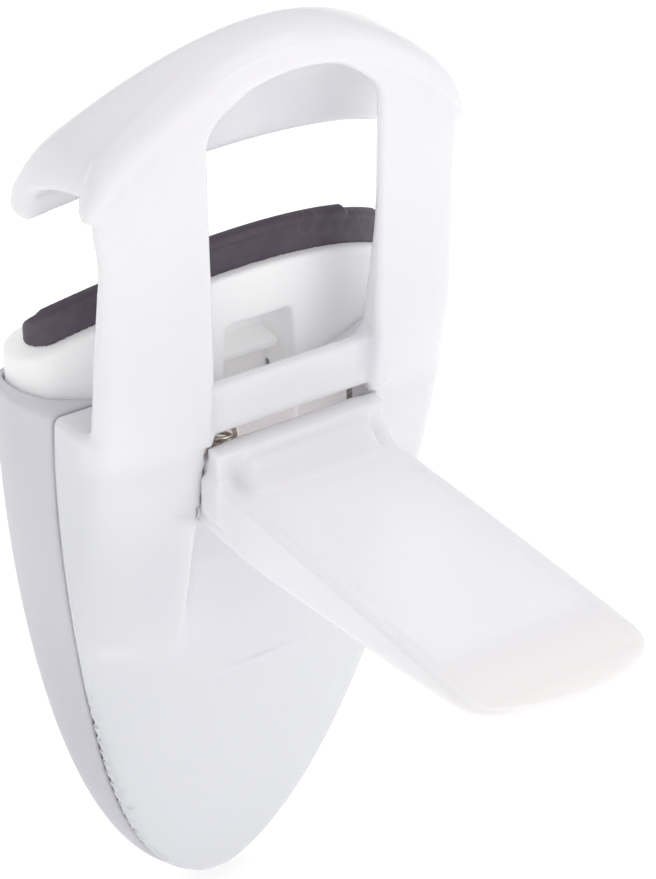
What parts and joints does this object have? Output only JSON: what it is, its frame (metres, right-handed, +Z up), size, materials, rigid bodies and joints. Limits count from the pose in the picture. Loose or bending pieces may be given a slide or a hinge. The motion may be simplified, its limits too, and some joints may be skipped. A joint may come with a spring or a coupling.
{
  "type": "clamp-on door latch",
  "caption": "Clamp-on child-safety door latch: hooked translucent frame, sprung lower jaw with rubber pad, hinged latch arm and shield-shaped housing.",
  "frame": {"origin": "middle of the crossbar's front face, between the uprights", "axes": "+Z up through the window towards the hood, -Y towards the latch arm's tip, +Y towards the flat back and the door, +X across the frame"},
  "size_m": [0.1074, 0.161, 0.2701],
  "materials": {
    "milky_plastic": "milky translucent moulding, soft gloss",
    "white_plastic": "opaque white moulding, fine satin",
    "jaw_plastic": "opaque bright white, fine satin",
    "inner_plastic": "unpolished moulding",
    "nylon": "natural nylon",
    "grey_rubber": "matte soft rubber",
    "spring_steel": "bright drawn wire",
    "screw_steel": "zinc plated"
  },
  "bodies": {
    "frame_body": {"front_frame": "milky_plastic", "rear_housing": "white_plastic", "chassis": "inner_plastic", "lip_pad": "grey_rubber", "hinge_pin": "spring_steel", "arm_washer_left": "nylon", "arm_washer_right": "nylon", "guide_rod_left": "spring_steel", "guide_rod_right": "spring_steel", "spring_seat_left": "spring_steel", "spring_seat_right": "spring_steel", "jaw_spring_left": "spring_steel", "jaw_spring_right": "spring_steel", "arm_return_spring": "spring_steel", "housing_screw_upper_left": "screw_steel", "housing_screw_upper_right": "screw_steel", "housing_screw_lower_left": "screw_steel", "housing_screw_lower_right": "screw_steel"},
    "jaw_body": {"sliding_jaw": "jaw_plastic", "jaw_pad": "grey_rubber", "jaw_stop_pin_left": "spring_steel", "jaw_stop_pin_right": "spring_steel"},
    "arm_body": {"latch_arm": "milky_plastic"}
  },
  "joints": [
    {"name": "jaw_slide", "type": "slide", "parent": "frame_body", "child": "jaw_body", "axis": [0, 0, -1], "range_m": [0, 0.04], "stiffness_N_per_m": 900, "springref_m": -0.028, "deforming": ["jaw_spring_left", "jaw_spring_right"]},
    {"name": "arm_hinge", "type": "hinge", "parent": "frame_body", "child": "arm_body", "pos_m": [0, 0.0062, -0.029], "axis": [1, 0, 0], "range_deg": [0, 92], "stiffness_Nm_per_rad": 0.06, "springref_deg": -34.38}
  ]
}
